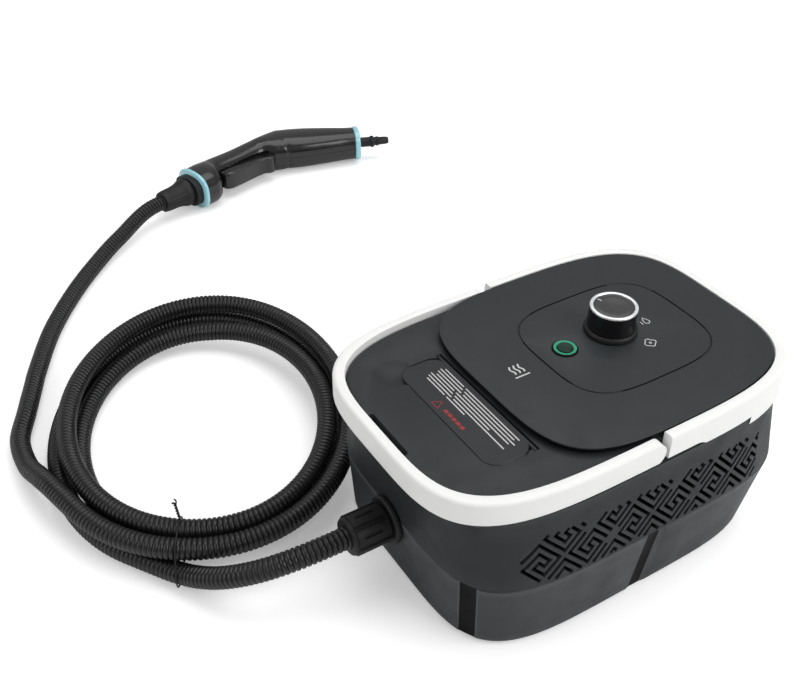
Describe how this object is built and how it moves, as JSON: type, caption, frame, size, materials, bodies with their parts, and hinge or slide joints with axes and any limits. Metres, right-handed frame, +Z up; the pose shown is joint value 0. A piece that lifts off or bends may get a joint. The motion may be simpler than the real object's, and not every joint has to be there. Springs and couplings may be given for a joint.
{
  "type": "steam cleaner",
  "caption": "Canister steam cleaner: rounded box with a bail handle, filler lid, dial and lit push button, and a corrugated hose lying coiled that ends in a trigger gun with a nozzle.",
  "frame": {"origin": "middle of the flat underside of the base pan; the feet stand 1.5 mm below it", "axes": "+Z up, +X towards the end with the control panel and the mains inlet (the hose leaves the other end), -Y the side nearest in the picture"},
  "size_m": [0.5293, 0.7188, 0.1617],
  "materials": {
    "charcoal_plastic": "satin, fine texture",
    "pan_plastic": "matte, fine texture",
    "lid_plastic": "satin label face",
    "white_plastic": "semi-gloss",
    "black_plastic": "gloss",
    "black_matte_plastic": "matte",
    "lamp_green": "translucent lamp ring",
    "pale_blue_plastic": "semi-gloss",
    "dial_ring_chrome": "polished",
    "black_rubber": "matte",
    "steel": "brushed",
    "cast_aluminium": "cast",
    "tank_plastic": "translucent natural plastic",
    "board_laminate": "printed board",
    "hose_conduit": "corrugated, semi-matt",
    "silicone_tube": "smooth",
    "wire_insulation": "smooth"
  },
  "bodies": {
    "unit": {"base_pan": "pan_plastic", "belt_casing": "charcoal_plastic", "top_deck": "charcoal_plastic", "control_panel": "charcoal_plastic", "rear_trim": "white_plastic", "handle_pin_near": "steel", "handle_pin_far": "steel", "lid_hinge_pin": "steel", "dial_switch": "black_matte_plastic", "button_ring": "lamp_green", "button_switch": "black_matte_plastic", "foot_1": "black_rubber", "foot_2": "black_rubber", "foot_3": "black_rubber", "foot_4": "black_rubber", "casing_screw_1": "steel", "casing_screw_2": "steel", "casing_screw_3": "steel", "casing_screw_4": "steel", "water_tank": "tank_plastic", "boiler": "cast_aluminium", "boiler_bracket": "steel", "thermostat": "cast_aluminium", "thermal_fuse": "silicone_tube", "pump": "black_matte_plastic", "pump_cradle": "black_rubber", "control_board": "board_laminate", "steam_tube": "silicone_tube", "suction_tube": "silicone_tube", "pressure_tube": "silicone_tube", "mains_wires": "wire_insulation", "heater_wires": "silicone_tube", "gland_flange": "black_plastic", "gland_nut": "black_plastic", "mains_inlet": "black_rubber", "hose_lead": "hose_conduit", "hose_coil": "hose_conduit", "hose_tail": "hose_conduit", "hose_tie": "wire_insulation", "gun_shell_left": "black_plastic", "gun_shell_right": "black_plastic", "trigger_pin": "steel", "trigger_spring": "steel", "gun_switch": "black_matte_plastic", "gun_steam_tube": "silicone_tube", "rear_ring": "pale_blue_plastic", "rear_collar": "black_matte_plastic", "hose_connector": "black_plastic", "muzzle_ring": "pale_blue_plastic"},
    "handle": {"carry_handle": "white_plastic"},
    "dial": {"dial_skirt": "black_matte_plastic", "dial_body": "black_plastic", "dial_ring": "dial_ring_chrome", "dial_cap": "black_plastic", "dial_shaft": "steel"},
    "button": {"power_button": "black_plastic"},
    "lid": {"filler_lid": "lid_plastic", "lid_seal": "black_rubber"},
    "trigger": {"trigger": "black_plastic"},
    "nozzle": {"nozzle": "black_plastic"}
  },
  "joints": [
    {"name": "handle_swing", "type": "hinge", "parent": "unit", "child": "handle", "pos_m": [-0.0066, 0, 0.1276], "axis": [0, 1, 0], "range_deg": [0, 90]},
    {"name": "lid_open", "type": "hinge", "parent": "unit", "child": "lid", "pos_m": [-0.0692, 0, 0.1314], "axis": [0, 1, 0], "range_deg": [0, 90]},
    {"name": "dial_turn", "type": "hinge", "parent": "unit", "child": "dial", "pos_m": [0.047, 0.0056, 0.1385], "axis": [0, 0, -1], "range_deg": [0, 270]},
    {"name": "button_press", "type": "slide", "parent": "unit", "child": "button", "axis": [0, 0, -1], "range_m": [0, 0.0015], "stiffness_N_per_m": 600, "springref_m": -0.001},
    {"name": "trigger_pull", "type": "hinge", "parent": "unit", "child": "trigger", "pos_m": [0.05232, 0.58272, 0.0194], "axis": [0, 0, -1], "range_deg": [0, 6], "stiffness_Nm_per_rad": 3, "springref_deg": -2.86},
    {"name": "nozzle_pull", "type": "slide", "parent": "unit", "child": "nozzle", "axis": [0.9397, -0.342, 0], "range_m": [0, 0.025]}
  ]
}
